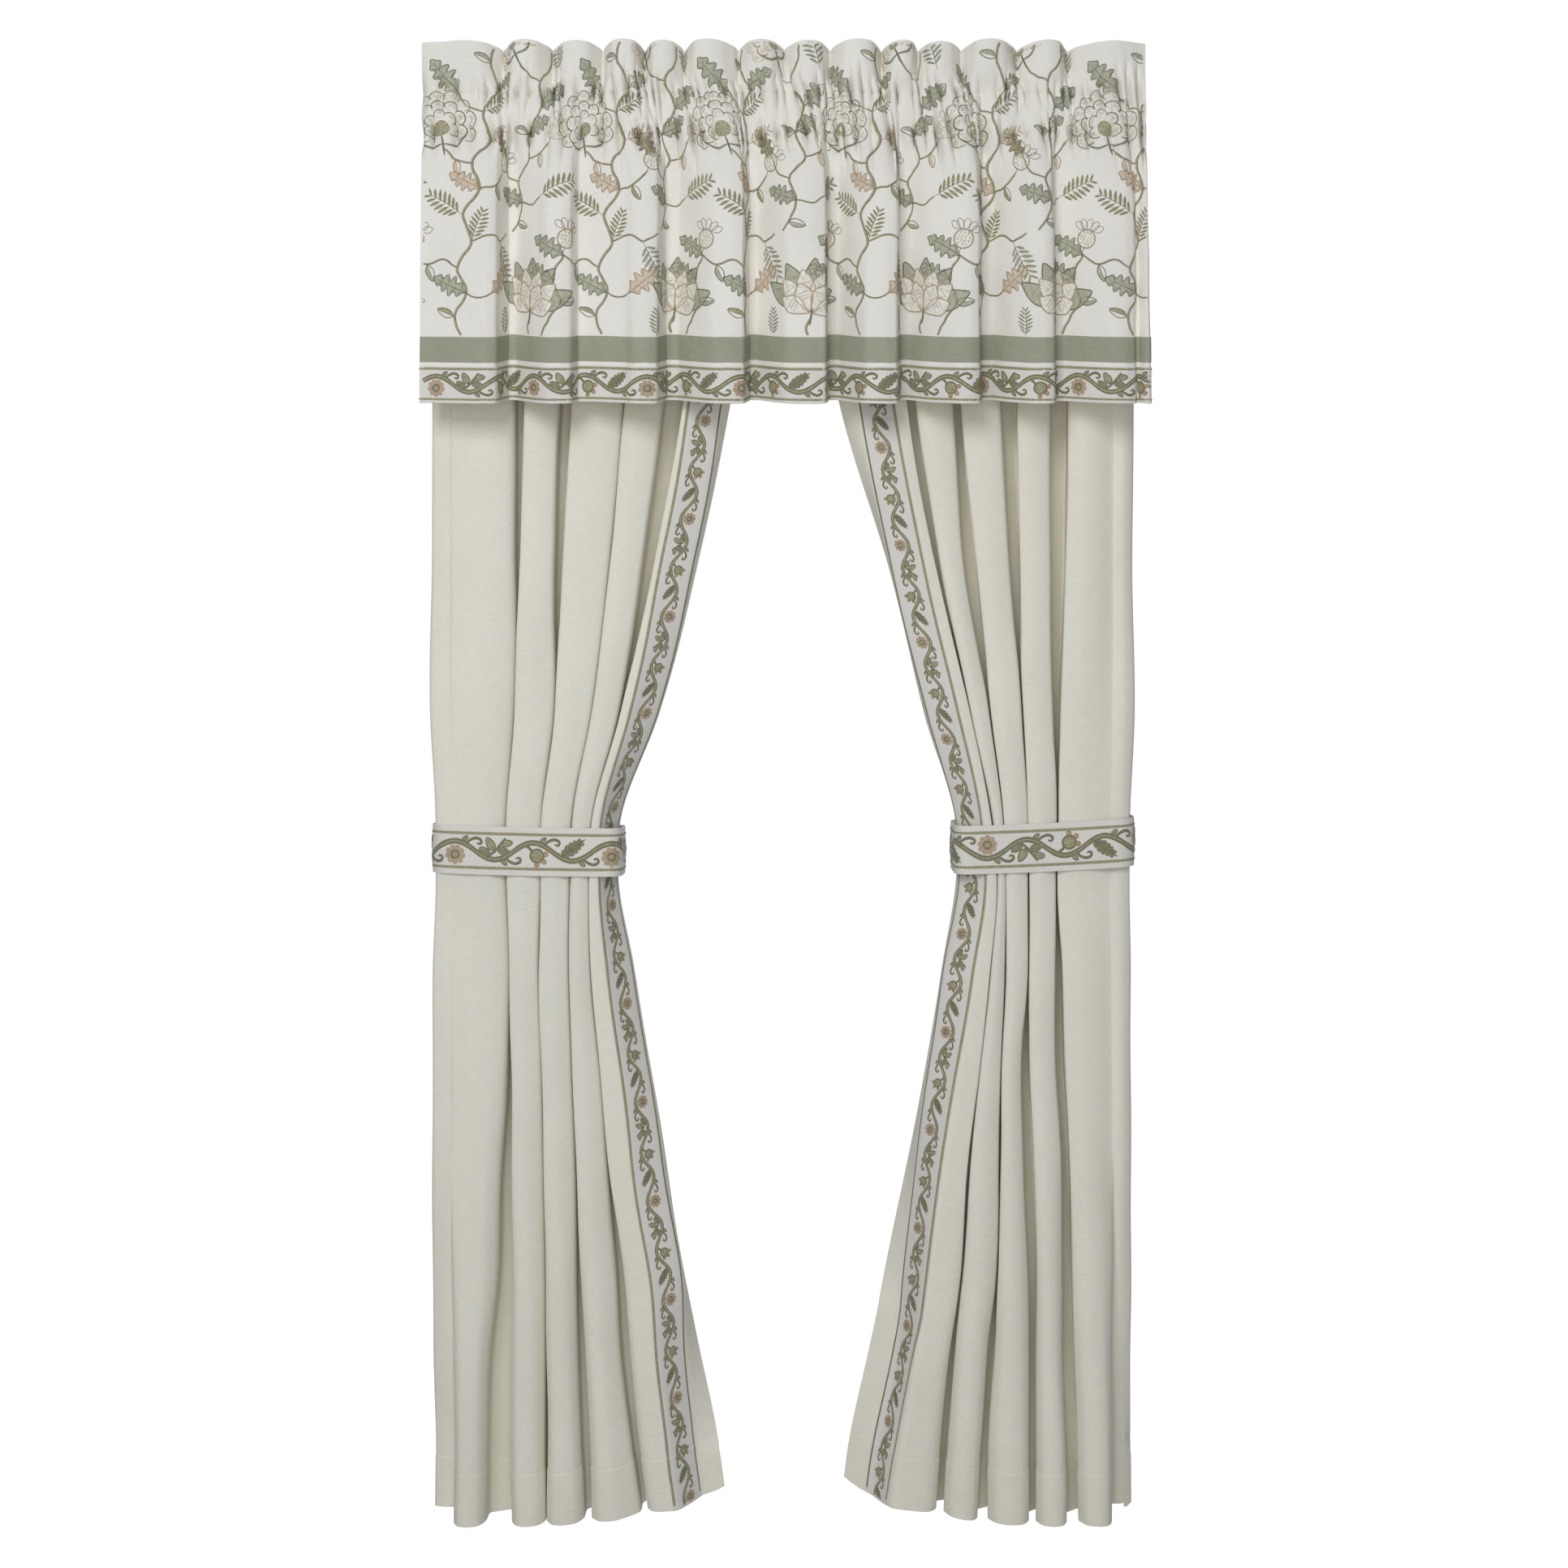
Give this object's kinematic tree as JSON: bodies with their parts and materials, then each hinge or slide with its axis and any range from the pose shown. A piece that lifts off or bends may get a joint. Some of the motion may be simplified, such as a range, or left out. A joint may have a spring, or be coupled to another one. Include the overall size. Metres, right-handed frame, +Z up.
{
  "type": "pair of curtain panels with valance and tiebacks",
  "caption": "Ruffled valance over a pair of full-length folded curtain panels with trimmed leading edges, each swept aside and held by a matching tieback band.",
  "frame": {"origin": "on the valance's rod line, at mid width, where the rod pocket carries the valance", "axes": "+X to the viewer's right along the rod, +Y from the room toward the window, +Z up"},
  "size_m": [1.0378, 0.173, 2.1358],
  "materials": {
    "panel_cloth": "matt ivory slub weave",
    "border_cloth": "matt off-white ground with green, grey and tan embroidery",
    "valance_cloth": "matt off-white plain weave with a trailing floral design",
    "sage_cloth": "matt sage green plain weave"
  },
  "bodies": {
    "root": {"panel_left": "panel_cloth", "panel_right": "panel_cloth", "border_left": "border_cloth", "border_right": "border_cloth", "valance": "valance_cloth", "valance_band": "sage_cloth", "valance_border": "border_cloth", "tieback_left": "border_cloth", "tieback_right": "border_cloth"}
  },
  "joints": []
}
